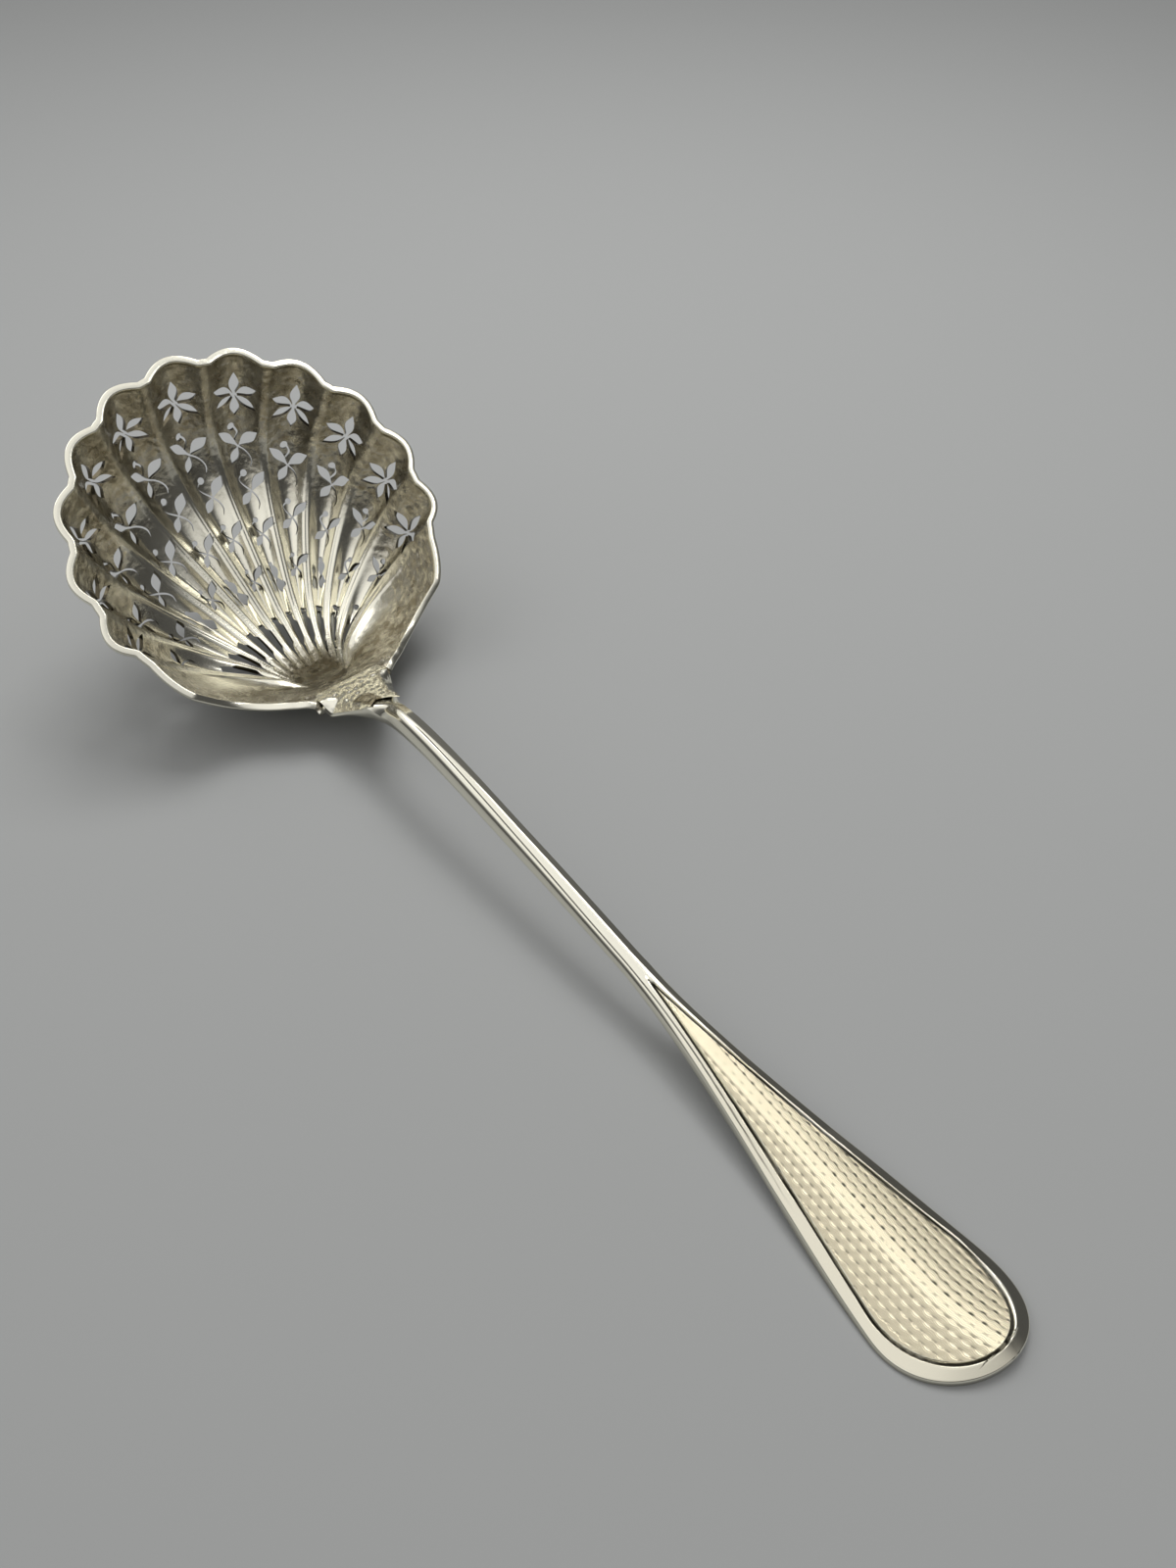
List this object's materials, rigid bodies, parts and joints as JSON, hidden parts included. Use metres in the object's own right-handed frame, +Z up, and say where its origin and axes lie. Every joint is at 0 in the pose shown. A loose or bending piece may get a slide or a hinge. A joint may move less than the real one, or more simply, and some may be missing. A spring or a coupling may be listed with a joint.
{
  "type": "sugar sifter spoon",
  "caption": "Silver sugar sifter: a pierced scallop-shell bowl of flowers and leaf sprigs with a plain rim wire, on an arched handle that ends in a spatula blade.",
  "frame": {"origin": "on the table, under the middle of the spoon's box", "axes": "+X along the handle to its end, +Z up, Y across the spoon"},
  "size_m": [0.2078, 0.0704, 0.0539],
  "materials": {
    "pierced_silver": "struck and pierced silver, polished on the ribs, satin and a little tarnished near the rim and heel",
    "rim_silver": "polished silver wire",
    "cast_silver": "cast silver with a fine hammered skin",
    "handle_silver": "polished silver with an engine-turned field on the blade"
  },
  "bodies": {
    "root": {"bowl_shell": "pierced_silver", "rim_wire": "rim_silver", "heel_lap": "cast_silver", "handle": "handle_silver"}
  },
  "joints": []
}
